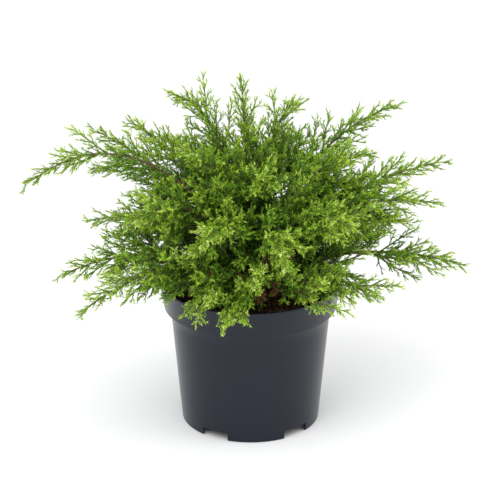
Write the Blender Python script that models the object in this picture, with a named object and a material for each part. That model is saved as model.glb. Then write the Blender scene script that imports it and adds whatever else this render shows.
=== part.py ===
"""A sea green juniper growing in a round nursery pot.

Metres, +Z up. The origin is on the ground under the middle of the pot, and the front of the plant
faces -Y. The plant is a short trunk on the growing medium, boughs that leave the trunk in three
tiers, and at the tip of each bough a plume: one mass of foliage that keeps to its own space.
"""

import math
import random
from collections import namedtuple

import bmesh
import bpy
import numpy as np
from mathutils import Matrix, Vector

SEED = 7
GAP = 0.0003  # clearance between solids that touch

# The pot: a tapered wall with a wider band at the rim and a foot ring with notches
POT_HEIGHT = 0.157
RIM_RADIUS = 0.095
BAND_HEIGHT = 0.029
BAND_RADIUS = 0.0918  # at the lower edge of the band
BAND_EDGE = (0.0008, 0.0012)  # width and height of the bevel on that edge
BODY_RADIUS = 0.0849  # just under the band
FOOT_RADIUS = 0.0734
WALL = 0.0016
LIP = 0.0026  # thickness of the rounded lip
FLOOR_HEIGHT = 0.0105  # underside of the raised floor
FLOOR_THICKNESS = 0.0022
FOOT_CHAMFER = 0.0008
POT_SEGMENTS = 40
NOTCHES = 5
NOTCH_WIDTH = 0.0304
NOTCH_HEIGHT = 0.0095
NOTCH_DEPTH = 0.0064  # enough to cut through the foot ring
FIRST_NOTCH = math.radians(-49)  # azimuth of the middle of the first notch
HOLE_RADIUS = 0.0055  # drain holes, one behind each notch
HOLE_CIRCLE = 0.054
HOLE_SIDES = 8
HOLE_DEPTH = 0.01  # enough to cut through the floor

# The growing medium that fills the pot
MEDIUM_LEVEL = 0.149
MEDIUM_CROWN = 0.003  # how far its middle stands over its edge
MEDIUM_FLAT = 0.057  # radius of its level middle
MEDIUM_SHOULDER = 0.0048  # height over the foot of the band where the medium has its full width
MEDIUM_SEGMENTS = 32

# The trunk
TRUNK_HEIGHT = 0.060
TRUNK_RADIUS = 0.0115
TRUNK_TIP_RADIUS = 0.0062
ROOT_FLARE = 0.0045  # extra radius where the trunk meets the medium
FLARE_HEIGHT = 0.010
FLARE_BEND = 0.3  # share of that height where the flare has its middle ring
TRUNK_LEAN = Vector((-0.003, 0.002, 0.0))  # sideways shift of the trunk's tip
TRUNK_SIDES = 12
TRUNK_STATIONS = 7

# Boughs and the stems of the plumes
BOUGH_SIDES = 5
BOUGH_STATIONS = 5
STEM_SIDES = 3
STEM_STATIONS = 5
STEM_TIP_RADIUS = 0.0008
LENGTH_SAMPLES = 25  # points that the length of a limb is measured over

# Sprays of needles, as toothed blades
SPRAY_THICKNESS = 0.0010
SPRAY_TEETH = 2  # on each side
SPRAY_WIDTH = 0.504  # half width of a spray's outline at its root, as a share of its length
SPRAY_NARROWING = 0.522  # half width lost per length run towards its tip
TOOTH_LEAN = 0.07  # how far forward a tooth's tip stands, as a share of the spray's length
NOTCH_LEAN = 0.02  # the same for the notch over a tooth
NOTCH_SHARE = 0.30  # half width at a notch, as a share of the tooth's
SPRAY_SPACING = 0.0135  # along the stem
SPRAY_SHARE = 0.42  # length of the longest spray, as a share of the plume's leafy length
SPRAY_LIMITS = (0.022, 0.052)  # shortest and longest spray
FEWEST_SPRAYS = 4  # on the sides of one plume
TIP_SPRAY = 0.030  # the spray that carries the stem on to the plume's tip
UPRIGHT = 0.3  # a tip is upright when less of its direction than this is level
STEM_INTO_TIP = 0.45  # how much of the tip's spray the stem runs into
SPRAY_ANGLE = math.radians(42)  # between the stem and a side spray
ANGLE_SPREAD = math.radians(6)
SPRAY_TURN = math.radians(137.5)  # from one side spray round the stem to the next
SPRAY_TAPER = 0.55  # how much shorter the sprays are at the plume's tip
LENGTH_SPREAD = (0.90, 1.08)
SHORTER = (1.0, 0.8, 0.62, 0.48)  # lengths tried for a spray that would leave its space
TANGENT_STEP = 0.01  # share of a limb over which its direction is taken

# Clearances between a spray and what is round it
SPACE_MARGIN = 0.0011  # half the clearance between neighbouring plumes
LIMB_MARGIN = 0.0012
SAMPLE_STEP = 0.003  # between the points that a spray is tested at
SUNK_ROOT = 0.003  # the part of a spray that isn't tested, because it is in its own stem
AXIS_SAMPLES = 36  # points that stand for the middle of a plume's limb
BOUGH_SAMPLES = 30
TRUNK_SAMPLES = 20

# A tier is a height on the trunk and the thickness of the boughs that leave it there.
Tier = namedtuple("Tier", "height stagger bough_radius stem_radius")
LOW = Tier(0.014, 0.0048, 0.0026, 0.0016)
MIDDLE = Tier(0.033, 0.0045, 0.0023, 0.0015)
UPPER = Tier(0.050, 0.0042, 0.0019, 0.0014)

# A plume's azimuth is in degrees, anticlockwise from +X as seen from above. Its reach is from the
# pot's axis to its tip, and tip and bend are heights over the ground: the limb leaves the trunk
# towards its bend, which stands over the share bend_at of the reach, and curves from there to the
# tip. The share bare of the limb is the bough, and the rest is the plume's own stem.
Plume = namedtuple("Plume", "name tier azimuth reach tip bend bend_at bare")
PLUMES = (
    Plume("low_right", LOW, 5, 0.231, 0.163, 0.205, 0.50, 0.52),
    Plume("low_right_front", LOW, 330, 0.146, 0.164, 0.200, 0.50, 0.32),
    Plume("low_front_right", LOW, 301, 0.134, 0.168, 0.192, 0.50, 0.30),
    Plume("low_front", LOW, 267, 0.124, 0.160, 0.186, 0.50, 0.30),
    Plume("low_front_left", LOW, 240, 0.132, 0.166, 0.190, 0.50, 0.30),
    Plume("low_left_front", LOW, 221, 0.229, 0.177, 0.228, 0.50, 0.32),
    Plume("low_left", LOW, 197, 0.208, 0.183, 0.224, 0.50, 0.32),
    Plume("low_back_left", LOW, 152, 0.205, 0.185, 0.225, 0.50, 0.32),
    Plume("low_back", LOW, 114, 0.166, 0.172, 0.212, 0.50, 0.30),
    Plume("low_back_right", LOW, 79, 0.155, 0.186, 0.214, 0.50, 0.30),
    Plume("low_right_back", LOW, 41, 0.200, 0.175, 0.216, 0.50, 0.32),
    Plume("middle_left", MIDDLE, 192, 0.238, 0.276, 0.370, 0.50, 0.32),
    Plume("middle_right", MIDDLE, 17, 0.222, 0.266, 0.262, 0.50, 0.28),
    Plume("middle_right_front", MIDDLE, 347, 0.201, 0.257, 0.272, 0.50, 0.28),
    Plume("middle_front_right", MIDDLE, 312, 0.152, 0.255, 0.276, 0.50, 0.24),
    Plume("middle_front", MIDDLE, 283, 0.151, 0.232, 0.262, 0.50, 0.24),
    Plume("middle_front_left", MIDDLE, 252, 0.147, 0.250, 0.274, 0.50, 0.24),
    Plume("middle_left_front", MIDDLE, 221, 0.165, 0.258, 0.290, 0.50, 0.24),
    Plume("middle_back_left", MIDDLE, 124, 0.172, 0.262, 0.296, 0.50, 0.26),
    Plume("middle_back_right", MIDDLE, 70, 0.160, 0.268, 0.290, 0.50, 0.26),
    Plume("upper_right", UPPER, 27, 0.180, 0.323, 0.322, 0.50, 0.22),
    Plume("upper_back_right", UPPER, 60, 0.102, 0.325, 0.336, 0.45, 0.20),
    Plume("upper_front_right", UPPER, 340, 0.135, 0.312, 0.305, 0.45, 0.20),
    Plume("upper_front", UPPER, 278, 0.092, 0.304, 0.300, 0.50, 0.20),
    Plume("upper_front_left", UPPER, 222, 0.090, 0.318, 0.308, 0.45, 0.20),
    Plume("upper_left", UPPER, 172, 0.168, 0.317, 0.276, 0.50, 0.22),
    Plume("upper_left_back", UPPER, 150, 0.153, 0.308, 0.286, 0.50, 0.22),
    Plume("upper_back_left", UPPER, 136, 0.122, 0.334, 0.350, 0.32, 0.20),
)
CREST = Plume("crest", UPPER, 135, 0.014, 0.377, 0.310, 0.40, 0.0)  # rises from the trunk's tip

# Finishes: colour, roughness and metallic
POT_FINISH = ((0.033, 0.039, 0.055), 0.42, 0.0)
MEDIUM_FINISH = ((0.050, 0.022, 0.012), 0.95, 0.0)
BARK_FINISH = ((0.120, 0.066, 0.036), 0.85, 0.0)
FOLIAGE_FINISH = ((0.130, 0.270, 0.040), 0.60, 0.0)


def finish(name, colour, roughness, metallic):
    material = bpy.data.materials.new(name)
    material.use_nodes = True
    shader = material.node_tree.nodes["Principled BSDF"]
    shader.inputs["Base Color"].default_value = (*colour, 1.0)
    shader.inputs["Roughness"].default_value = roughness
    shader.inputs["Metallic"].default_value = metallic
    return material


def object_of(name, bm, material=None):
    """A new object that holds the bmesh, with its faces pointing out."""
    bmesh.ops.recalc_face_normals(bm, faces=bm.faces)
    mesh = bpy.data.meshes.new(name)
    bm.to_mesh(mesh)
    bm.free()
    if material:
        mesh.materials.append(material)
    made = bpy.data.objects.new(name, mesh)
    bpy.context.scene.collection.objects.link(made)
    return made


def shade_round(made, angle):
    made.data.shade_smooth()
    made.data.set_sharp_from_angle(angle=angle)


def turned(profile, segments):
    """A bmesh turned about Z from a profile of (radius, height) points whose ends are on the axis."""
    bm = bmesh.new()
    points = [bm.verts.new((radius, 0.0, height)) for radius, height in profile]
    edges = [bm.edges.new(pair) for pair in zip(points, points[1:])]
    bmesh.ops.spin(
        bm,
        geom=points + edges,
        cent=(0, 0, 0),
        axis=(0, 0, 1),
        angle=math.tau,
        steps=segments,
        use_merge=True,
    )
    bmesh.ops.remove_doubles(bm, verts=bm.verts, dist=1e-6)
    return bm


def wall_radius(height):
    """Outer radius of the pot's wall under the band."""
    share = height / (POT_HEIGHT - BAND_HEIGHT)
    return FOOT_RADIUS + (BODY_RADIUS - FOOT_RADIUS) * share


def pot_profile():
    """Section of the pot: the floor's underside, the foot, up the outside, the lip and the inside."""
    band_foot = POT_HEIGHT - BAND_HEIGHT
    lip_middle = POT_HEIGHT - LIP / 2
    floor_top = FLOOR_HEIGHT + FLOOR_THICKNESS
    underside = [
        (0.0, FLOOR_HEIGHT),
        (wall_radius(FLOOR_HEIGHT) - WALL, FLOOR_HEIGHT),
        (FOOT_RADIUS - FOOT_CHAMFER - WALL, 0.0),
    ]
    outside = [
        (FOOT_RADIUS - FOOT_CHAMFER, 0.0),
        (FOOT_RADIUS, FOOT_CHAMFER),
        (BODY_RADIUS, band_foot - WALL),
        (BAND_RADIUS - BAND_EDGE[0], band_foot),
        (BAND_RADIUS, band_foot + BAND_EDGE[1]),
        (RIM_RADIUS, lip_middle),
    ]
    lip = [
        (RIM_RADIUS - LIP / 2 + LIP / 2 * math.cos(turn), lip_middle + LIP / 2 * math.sin(turn))
        for turn in (math.radians(60), math.radians(120))
    ]
    inside = [
        (RIM_RADIUS - LIP, lip_middle),
        (BAND_RADIUS - WALL, band_foot + WALL),
        (BODY_RADIUS - WALL, band_foot),
        (wall_radius(floor_top) - WALL, floor_top),
        (0.0, floor_top),
    ]
    return underside + outside + lip + inside


def make_pot(material):
    pot = object_of("pot", turned(pot_profile(), POT_SEGMENTS), material)
    for number in range(NOTCHES):
        azimuth = FIRST_NOTCH + number * math.tau / NOTCHES
        cut(pot, notch_cutter(f"notch_cutter_{number + 1}", azimuth))
        cut(pot, hole_cutter(f"hole_cutter_{number + 1}", azimuth))
    shade_round(pot, math.radians(35))


def notch_cutter(name, azimuth):
    bm = bmesh.new()
    bmesh.ops.create_cube(bm, size=1.0)
    bmesh.ops.scale(bm, vec=(NOTCH_DEPTH, NOTCH_WIDTH, 2 * NOTCH_HEIGHT), verts=bm.verts)
    bmesh.ops.translate(bm, vec=(FOOT_RADIUS - WALL, 0, 0), verts=bm.verts)
    bmesh.ops.rotate(bm, matrix=Matrix.Rotation(azimuth, 3, "Z"), verts=bm.verts)
    return object_of(name, bm)


def hole_cutter(name, azimuth):
    bm = bmesh.new()
    bmesh.ops.create_cone(
        bm,
        cap_ends=True,
        segments=HOLE_SIDES,
        radius1=HOLE_RADIUS,
        radius2=HOLE_RADIUS,
        depth=HOLE_DEPTH,
    )
    middle = FLOOR_HEIGHT + FLOOR_THICKNESS / 2
    bmesh.ops.translate(bm, vec=(HOLE_CIRCLE, 0, middle), verts=bm.verts)
    bmesh.ops.rotate(bm, matrix=Matrix.Rotation(azimuth, 3, "Z"), verts=bm.verts)
    return object_of(name, bm)


def cut(target, cutter):
    cutter.hide_render = True
    cutter.display_type = "WIRE"
    modifier = target.modifiers.new(cutter.name, "BOOLEAN")
    modifier.object = cutter


def make_medium(material):
    """The growing medium: a plug that follows the pot's inside and has a slightly domed top."""
    bottom = FLOOR_HEIGHT + FLOOR_THICKNESS + GAP
    band_foot = POT_HEIGHT - BAND_HEIGHT
    # Its corners keep clear of the flats of the pot's inside, which has another number of sides.
    inset = WALL + GAP + RIM_RADIUS * (1 - math.cos(math.pi / POT_SEGMENTS))
    profile = [
        (wall_radius(bottom) - inset, bottom),
        (BODY_RADIUS - inset, band_foot),
        (BAND_RADIUS - inset, band_foot + MEDIUM_SHOULDER),
        (BAND_RADIUS - inset, MEDIUM_LEVEL - MEDIUM_CROWN),
        (MEDIUM_FLAT, MEDIUM_LEVEL),
    ]
    bm = bmesh.new()
    rings = [
        bmesh.ops.create_circle(
            bm,
            segments=MEDIUM_SEGMENTS,
            radius=radius,
            matrix=Matrix.Translation((0, 0, height)),
        )["verts"]
        for radius, height in profile
    ]
    for lower, upper in zip(rings, rings[1:]):
        edges = [edge for edge in bm.edges if all(v in lower + upper for v in edge.verts)]
        bmesh.ops.bridge_loops(bm, edges=edges)
    for ring in (rings[0], rings[-1]):
        bmesh.ops.contextual_create(bm, geom=ring)
    made = object_of("growing_medium", bm, material)
    shade_round(made, math.radians(35))


def along(path, stations):
    return [path(i / (stations - 1)) for i in range(stations)]


def directions(points):
    """Unit direction of a run of points at each of them."""
    steps = [(b - a).normalized() for a, b in zip(points, points[1:])]
    middle = [(a + b).normalized() for a, b in zip(steps, steps[1:])]
    return [steps[0], *middle, steps[-1]]


def limb(points, radii, sides):
    """A bmesh of one tapering limb: a ring at each point, square to the limb, and flat ends."""
    bm = bmesh.new()
    rings = []
    across = None
    for point, direction, radius in zip(points, directions(points), radii):
        # Each ring keeps the turn of the one before, so the limb doesn't twist.
        start = across or direction.orthogonal()
        across = (start - start.project(direction)).normalized()
        upright = direction.cross(across)
        square = Matrix((across, upright, direction)).transposed().to_4x4()
        place = Matrix.Translation(point) @ square
        rings.append(
            bmesh.ops.create_circle(bm, segments=sides, radius=radius, matrix=place)["verts"]
        )
    for lower, upper in zip(rings, rings[1:]):
        for i in range(sides):
            j = (i + 1) % sides
            bm.faces.new((lower[i], lower[j], upper[j], upper[i]))
    bm.faces.new(rings[0][::-1])
    bm.faces.new(rings[-1])
    return bm


def trunk_axis(height):
    share = height / TRUNK_HEIGHT
    return Vector((0, 0, MEDIUM_LEVEL + GAP + height)) + TRUNK_LEAN * share * share


def trunk_radius(height):
    taper = TRUNK_RADIUS + (TRUNK_TIP_RADIUS - TRUNK_RADIUS) * height / TRUNK_HEIGHT
    flare = max(0.0, 1 - height / FLARE_HEIGHT)
    return taper + ROOT_FLARE * flare * flare


def make_trunk(material):
    heights = [0.0, FLARE_BEND * FLARE_HEIGHT, FLARE_HEIGHT]
    steps = TRUNK_STATIONS - len(heights)
    rise = TRUNK_HEIGHT - FLARE_HEIGHT
    heights += [FLARE_HEIGHT + rise * (i + 1) / steps for i in range(steps)]
    axis = [trunk_axis(height) for height in heights]
    bm = limb(axis, [trunk_radius(height) for height in heights], TRUNK_SIDES)
    for vert in bm.verts:
        if vert.co.z < axis[1].z / 2 + axis[0].z / 2:
            vert.co.z = axis[0].z  # the foot is cut flat
    trunk = object_of("trunk", bm, material)
    shade_round(trunk, math.radians(50))


def outward(azimuth):
    return Vector((math.cos(azimuth), math.sin(azimuth), 0.0))


def start_of(plume, number):
    """Where the plume's limb leaves the trunk, just clear of the bark."""
    if plume is CREST:
        return trunk_axis(TRUNK_HEIGHT) + Vector((0, 0, GAP))
    height = plume.tier.height + (plume.tier.stagger if number % 2 else -plume.tier.stagger)
    direction = outward(math.radians(plume.azimuth))
    axis = trunk_axis(height)
    run = plume.reach * plume.bend_at
    slope = math.atan2(plume.bend - axis.z, run)
    clear = trunk_radius(height) + plume.tier.bough_radius * math.sin(abs(slope)) + GAP
    return axis + direction * clear


def limb_path(plume, number):
    """The limb of a plume as a function from 0 at the trunk to 1 at the plume's tip."""
    start = start_of(plume, number)
    direction = outward(math.radians(plume.azimuth))
    bend = direction * plume.reach * plume.bend_at + Vector((0, 0, plume.bend))
    tip = direction * plume.reach + Vector((0, 0, plume.tip))

    def path(share):
        rest = 1 - share
        return start * rest * rest + bend * 2 * share * rest + tip * share * share

    return path


def path_length(path):
    points = along(path, LENGTH_SAMPLES)
    return sum((b - a).length for a, b in zip(points, points[1:]))


def stem_radius(plume, share):
    """Radius of the plume's stem from its foot at 0 to its tip at 1."""
    return plume.tier.stem_radius + (STEM_TIP_RADIUS - plume.tier.stem_radius) * share


def bough_radius(plume, share):
    return plume.tier.bough_radius + (plume.tier.stem_radius - plume.tier.bough_radius) * share


def make_bough(plume, path, material):
    points = along(lambda share: path(share * plume.bare), BOUGH_STATIONS)
    radii = [bough_radius(plume, i / (BOUGH_STATIONS - 1)) for i in range(BOUGH_STATIONS)]
    bough = object_of(f"bough_{plume.name}", limb(points, radii, BOUGH_SIDES), material)
    shade_round(bough, math.radians(80))


def spray_side(length):
    """One side of a spray's outline: the tip of each tooth and the notches between them."""
    side = []
    for tooth in range(1, SPRAY_TEETH + 1):
        share = tooth / (SPRAY_TEETH + 1)
        width = (SPRAY_WIDTH - SPRAY_NARROWING * share) * length
        side.append(((share + TOOTH_LEAN) * length, width))
        side.append(((share + NOTCH_LEAN) * length, NOTCH_SHARE * width))
    return side[:-1]


def spray(root, direction, flat, length):
    """A bmesh of one spray of needles, a toothed blade that lies square to the flat direction."""
    across = direction.cross(flat).normalized()
    flat = across.cross(direction)
    side = spray_side(length)
    outline = [(0.0, 0.0), *side, (length, 0.0)]
    outline += [(run, -width) for run, width in reversed(side)]
    bm = bmesh.new()
    near = [
        bm.verts.new(root + direction * run + across * width - flat * SPRAY_THICKNESS / 2)
        for run, width in outline
    ]
    face = bm.faces.new(near)
    extruded = bmesh.ops.extrude_face_region(bm, geom=[face])["geom"]
    far = [item for item in extruded if isinstance(item, bmesh.types.BMVert)]
    bmesh.ops.translate(bm, vec=flat * SPRAY_THICKNESS, verts=far)
    return bm


def samples_of(bm):
    """Points along every edge of the bmesh, close enough to test it against its neighbours."""
    found = []
    for edge in bm.edges:
        a, b = (vert.co for vert in edge.verts)
        steps = max(2, math.ceil((b - a).length / SAMPLE_STEP))
        found += [a.lerp(b, i / steps) for i in range(steps + 1)]
    return np.array(found)


class Surroundings:
    """What a spray keeps clear of: the pot, the medium, every limb and the other plumes' space."""

    def __init__(self, plumes, paths):
        limbs = []
        for plume, path in zip(plumes, paths):
            if plume.bare:
                run = along(lambda share: path(share * plume.bare), BOUGH_SAMPLES)
                limbs += [(point, plume.tier.bough_radius) for point in run]
        for i in range(TRUNK_SAMPLES):
            height = TRUNK_HEIGHT * i / (TRUNK_SAMPLES - 1)
            limbs.append((trunk_axis(height), trunk_radius(height)))
        self.limbs = np.array([point for point, _ in limbs])
        self.limb_radii = np.array([radius for _, radius in limbs])
        self.axes = np.array([along(path, AXIS_SAMPLES) for path in paths])

    def clear(self, points, own):
        outer = np.hypot(points[:, 0], points[:, 1])
        over_pot = outer < RIM_RADIUS + LIP
        lowest = np.where(over_pot, POT_HEIGHT + LIMB_MARGIN, MEDIUM_LEVEL)
        if (points[:, 2] < lowest).any():
            return False
        away = np.linalg.norm(points[:, None] - self.limbs[None], axis=2)
        if (away < self.limb_radii + LIMB_MARGIN).any():
            return False
        away = np.linalg.norm(points[:, None, None] - self.axes[None], axis=3).min(axis=2)
        mine = away[:, own].copy()
        away[:, own] = np.inf
        return bool((away.min(axis=1) - mine > 2 * SPACE_MARGIN).all())


def side_sprays(plume, path, own, around, rng):
    """Sprays up the stem, each turned on from the last, shorter towards the tip of the plume."""
    leafy = path_length(path) * (1 - plume.bare)
    longest = min(max(leafy * SPRAY_SHARE, SPRAY_LIMITS[0]), SPRAY_LIMITS[1])
    count = max(FEWEST_SPRAYS, round((leafy - TIP_SPRAY) / SPRAY_SPACING))
    turn = rng.uniform(0, math.tau)
    kept = []
    for number in range(count):
        place = (number + 0.5) / count * (1 - TIP_SPRAY / leafy)
        share = plume.bare + (1 - plume.bare) * place
        root = path(share)
        forward = (path(share + TANGENT_STEP) - path(share - TANGENT_STEP)).normalized()
        turn += SPRAY_TURN
        side = forward.orthogonal().normalized()
        side.rotate(Matrix.Rotation(turn, 3, forward))
        angle = SPRAY_ANGLE + rng.uniform(-ANGLE_SPREAD, ANGLE_SPREAD)
        direction = forward * math.cos(angle) + side * math.sin(angle)
        length = longest * (1 - SPRAY_TAPER * place) * rng.uniform(*LENGTH_SPREAD)
        for shorter in SHORTER:
            blade = spray(root, direction, forward.cross(side), length * shorter)
            points = samples_of(blade)
            points = points[np.linalg.norm(points - np.array(root), axis=1) > SUNK_ROOT]
            if around.clear(points, own):
                kept.append(blade)
                break
            blade.free()
    return kept


def tip_spray(plume, path):
    """The spray that ends exactly at the plume's tip."""
    tip = path(1.0)
    share = 1 - TIP_SPRAY / path_length(path)
    root = path(share)
    direction = (tip - root).normalized()
    # The blade lies level across the plume, and faces the front on one that points straight up.
    level = direction.cross(Vector((0, 0, 1)))
    flat = level.cross(direction) if level.length > UPRIGHT else Vector((0, 1, 0))
    return spray(root, direction, flat, (tip - root).length)


def make_plume(plume, path, own, around, material):
    """One mass of foliage: its stem with every spray fused to it."""
    rng = random.Random(SEED * 1000 + own)
    foot = plume.bare + (GAP / path_length(path) if plume.bare else 0.0)
    top = 1 - (1 - STEM_INTO_TIP) * TIP_SPRAY / path_length(path)
    points = along(lambda share: path(foot + (top - foot) * share), STEM_STATIONS)
    radii = [stem_radius(plume, i / (STEM_STATIONS - 1)) for i in range(STEM_STATIONS)]
    mass = object_of(f"foliage_{plume.name}", limb(points, radii, STEM_SIDES), material)
    sprays = bpy.data.collections.new(f"sprays_{plume.name}")
    bpy.context.scene.collection.children.link(sprays)
    blades = side_sprays(plume, path, own, around, rng) + [tip_spray(plume, path)]
    for number, blade in enumerate(blades):
        made = object_of(f"spray_{plume.name}_{number}", blade)
        bpy.context.scene.collection.objects.unlink(made)
        sprays.objects.link(made)
    union = mass.modifiers.new("fuse the sprays", "BOOLEAN")
    union.operation = "UNION"
    union.operand_type = "COLLECTION"
    union.collection = sprays
    bpy.context.view_layer.objects.active = mass
    bpy.ops.object.modifier_apply(modifier=union.name)
    for made in list(sprays.objects):
        bpy.data.objects.remove(made)
    bpy.data.collections.remove(sprays)
    keep_largest_body(mass)


def keep_largest_body(mass):
    """Drops any loose scrap that the union left beside the plume."""
    bm = bmesh.new()
    bm.from_mesh(mass.data)
    left = set(bm.verts)
    bodies = []
    while left:
        body = {left.pop()}
        front = list(body)
        while front:
            vert = front.pop()
            near = {edge.other_vert(vert) for edge in vert.link_edges} & left
            left -= near
            body |= near
            front += near
        bodies.append(body)
    bodies.sort(key=len)
    scraps = [vert for body in bodies[:-1] for vert in body]
    bmesh.ops.delete(bm, geom=scraps, context="VERTS")
    bm.to_mesh(mass.data)
    bm.free()


def main():
    for old in list(bpy.data.objects):
        bpy.data.objects.remove(old)
    bark = finish("bark", *BARK_FINISH)
    foliage = finish("foliage", *FOLIAGE_FINISH)
    make_pot(finish("pot plastic", *POT_FINISH))
    make_medium(finish("growing medium", *MEDIUM_FINISH))
    make_trunk(bark)
    plumes = (*PLUMES, CREST)
    paths = [limb_path(plume, number) for number, plume in enumerate(plumes)]
    around = Surroundings(plumes, paths)
    for own, (plume, path) in enumerate(zip(plumes, paths)):
        if plume.bare:
            make_bough(plume, path, bark)
        make_plume(plume, path, own, around, foliage)


main()
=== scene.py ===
"""The looks of a sea green juniper in a round nursery pot.

Metres, +Z up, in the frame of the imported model. The plant's limbs follow the same table as its
solids, and finer twigs and needles grow on from them.
"""

import math
import random
from collections import namedtuple

import bmesh
import bpy
import numpy as np
from mathutils import Matrix, Quaternion, Vector, noise


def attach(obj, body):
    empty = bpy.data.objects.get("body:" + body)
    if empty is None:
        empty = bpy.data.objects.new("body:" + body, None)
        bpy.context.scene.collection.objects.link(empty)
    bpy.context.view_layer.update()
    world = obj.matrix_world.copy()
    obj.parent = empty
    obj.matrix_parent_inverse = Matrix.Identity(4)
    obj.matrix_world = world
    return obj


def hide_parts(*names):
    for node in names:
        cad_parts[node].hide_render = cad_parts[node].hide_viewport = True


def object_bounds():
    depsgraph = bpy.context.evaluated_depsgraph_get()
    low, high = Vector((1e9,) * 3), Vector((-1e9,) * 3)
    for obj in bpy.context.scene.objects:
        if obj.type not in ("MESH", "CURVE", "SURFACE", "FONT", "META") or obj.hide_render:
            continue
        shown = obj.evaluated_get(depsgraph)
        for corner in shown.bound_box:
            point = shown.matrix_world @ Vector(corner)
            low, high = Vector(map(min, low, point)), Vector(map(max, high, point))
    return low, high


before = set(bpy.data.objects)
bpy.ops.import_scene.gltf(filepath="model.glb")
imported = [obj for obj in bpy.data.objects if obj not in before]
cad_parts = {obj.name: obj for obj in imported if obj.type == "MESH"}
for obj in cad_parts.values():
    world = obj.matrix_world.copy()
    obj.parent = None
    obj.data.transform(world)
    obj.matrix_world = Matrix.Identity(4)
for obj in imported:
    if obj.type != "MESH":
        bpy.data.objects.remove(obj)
solid_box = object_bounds()

SEED = 7
GAP = 0.0003  # clearance between pieces that touch

# The camera, as fitted to the rim and the foot of the pot
PHOTO_WIDTH = 500
FOCAL_PIXELS = 2091
CAMERA_TARGET = Vector((-0.0005, 0.0, 0.1893))
CAMERA_DISTANCE = 2.2
CAMERA_ELEVATION = math.radians(21.585)

# The floor, and the softboxes with their places, sizes and powers
FLOOR_REACH = 12.0
FLOOR_COLOUR = (0.90, 0.90, 0.915)
SKY_STRENGTH = 0.98
FRONT_SOFTBOX = ((-1.0, -1.5, 2.4), 2.2, 43)
RIGHT_SOFTBOX = ((1.8, -0.4, 1.8), 1.2, 14)

# The pot
POT_HEIGHT = 0.157
RIM_RADIUS = 0.095
BAND_HEIGHT = 0.029
BAND_RADIUS = 0.0918
BODY_RADIUS = 0.0849
FOOT_RADIUS = 0.0734
WALL = 0.0016
WALL_STATIONS = 8
STEP_FILLET = (0.0007, 0.0006)  # where the wall turns out under the band: across and up
BAND_CORNER = (0.0012, 0.0013)  # the band's rounded lower corner: across and up
BAND_EDGE = 0.0003
LIP = 0.0026
LIP_UNDERCUT = 0.0006
LIP_EDGE = 0.0012
LIP_STEPS = 6
FLOOR_HEIGHT = 0.0105
FLOOR_THICKNESS = 0.0022
FOOT_CHAMFER = 0.0008
POT_STEPS = 144
NOTCHES = 5
NOTCH_WIDTH = 0.0304
NOTCH_HEIGHT = 0.0095
NOTCH_DEPTH = 0.0064
FIRST_NOTCH = math.radians(-49)
HOLE_RADIUS = 0.0055
HOLE_CIRCLE = 0.054
HOLE_STEPS = 24
HOLE_CUT = 0.010
HOLE_CUT_RAISE = 0.001
POT_SHARP_ANGLE = math.radians(35)

# The growing medium
MEDIUM_LEVEL = 0.149
MEDIUM_CROWN = 0.003
MEDIUM_RINGS = 30
MEDIUM_STEPS = 96
MEDIUM_RELIEF = 0.0016
MEDIUM_SINK = 0.6  # the relief is sunk by this share of itself
LUMP_SCALE = 160
GRAIN_SCALE = 420
GRAIN_SHARE = 0.5
GRAIN_OFFSET = 0.3
CHIPS = 1500
CHIP_SIZE = (0.0012, 0.0042)
GRITS = 70
GRIT_SIZE = (0.0008, 0.0018)
CHIP_ROUGHNESS = (0.75, 1.15)
CHIP_STRETCH = ((0.9, 1.6), (0.6, 1.0), (0.35, 0.7))
CHIP_TILT = 1.0
CHIP_RAISE = 0.1  # share of a chip's size that its middle lies above the medium
CHIP_INSET = 0.003
CHIP_CLEAR_MIDDLE = 0.03  # share of the area, in the middle, with no chips

# The trunk and the boughs
TRUNK_HEIGHT = 0.060
TRUNK_RADIUS = 0.0115
TRUNK_TIP_RADIUS = 0.0062
ROOT_FLARE = 0.0045
FLARE_HEIGHT = 0.010
TRUNK_LEAN = Vector((-0.003, 0.002, 0.0))
TRUNK_SIDES = 36
TRUNK_RINGS = 48
BOUGH_SIDES = 12
BOUGH_RINGS = 26
BARK_RELIEF = 0.09  # depth of the furrows, as a share of the limb's radius
FURROWS_ROUND = 3.2
FURROWS_ALONG = 90
FURROW_GAIN = 1.6
FURROW_SEED_STEP = 2.7  # sets each bough's furrows apart from the next one's
BOUGH_OVERRUN = 1.04  # the bough runs a little into the leader that grows on from it

Tier = namedtuple("Tier", "height stagger bough_radius stem_radius")
LOW = Tier(0.014, 0.0048, 0.0026, 0.0016)
MIDDLE = Tier(0.033, 0.0045, 0.0023, 0.0015)
UPPER = Tier(0.050, 0.0042, 0.0019, 0.0014)

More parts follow.
